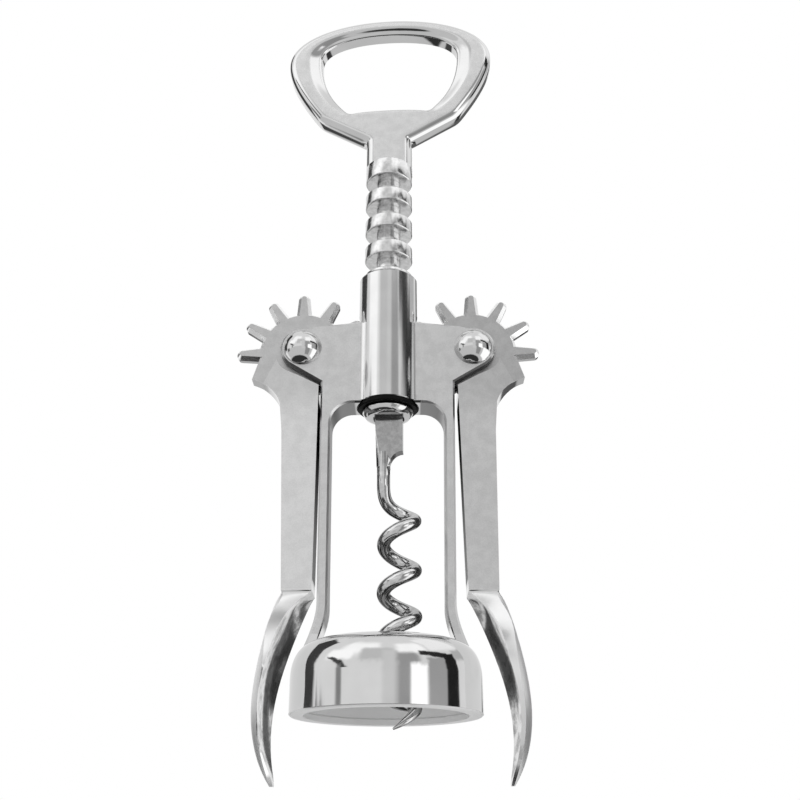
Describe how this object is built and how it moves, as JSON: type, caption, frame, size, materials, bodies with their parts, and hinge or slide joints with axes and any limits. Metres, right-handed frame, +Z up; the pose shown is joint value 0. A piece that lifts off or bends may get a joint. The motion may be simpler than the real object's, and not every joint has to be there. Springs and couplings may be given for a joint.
{
  "type": "wing corkscrew",
  "caption": "Wing corkscrew with a bell that stands on the bottle, geared thumb levers, a ribbed rack shaft, a wire worm and a crown-cap opener as its handle.",
  "frame": {"origin": "centre of the bell's mouth, in the plane that stands on the bottle's shoulder, on the worm shaft's axis", "axes": "+Z up the shaft from the bell to the opener, X across the two wings, Y the tool's thickness with -Y to the viewer of its front"},
  "size_m": [0.072, 0.0402, 0.2],
  "materials": {
    "frame_casting": "chrome plate, satin on the flat faces and polished on the bell, barrel and edges",
    "rivet": "polished chrome plate",
    "lever": "chrome plate, satin on the flat faces and polished on the pads and edges",
    "opener_shaft": "chrome plate, satin on the flat faces and polished on the ribs and round edges",
    "worm": "bright nickel-plated steel wire",
    "worm_pin": "plain steel",
    "stop_ring": "black rubber"
  },
  "bodies": {
    "frame": {"frame_casting": "frame_casting", "left_rivet": "rivet", "right_rivet": "rivet"},
    "slider": {"stop_ring": "stop_ring"},
    "screw": {"opener_shaft": "opener_shaft", "worm": "worm", "worm_pin": "worm_pin"},
    "left_wing": {"left_lever": "lever"},
    "right_wing": {"right_lever": "lever"}
  },
  "joints": [
    {"name": "rack_slide", "type": "slide", "parent": "frame", "child": "slider", "axis": [0, 0, -1], "range_m": [0, 0.0286]},
    {"name": "worm_turn", "type": "hinge", "parent": "slider", "child": "screw", "pos_m": [0, 0, 0.069], "axis": [0, 0, 1], "continuous": true},
    {"name": "left_wing_lift", "type": "hinge", "parent": "frame", "child": "left_wing", "pos_m": [-0.02012, 0, 0.08313], "axis": [0, 1, 0], "range_deg": [0, 110.05]},
    {"name": "right_wing_lift", "type": "hinge", "parent": "frame", "child": "right_wing", "pos_m": [0.02012, 0, 0.08313], "axis": [0, -1, 0], "range_deg": [0, 110.05]}
  ],
  "couplings": [
    {"joint": "left_wing_lift", "follows": "rack_slide", "rad_per_m": 67.128},
    {"joint": "right_wing_lift", "follows": "rack_slide", "rad_per_m": 67.128}
  ]
}
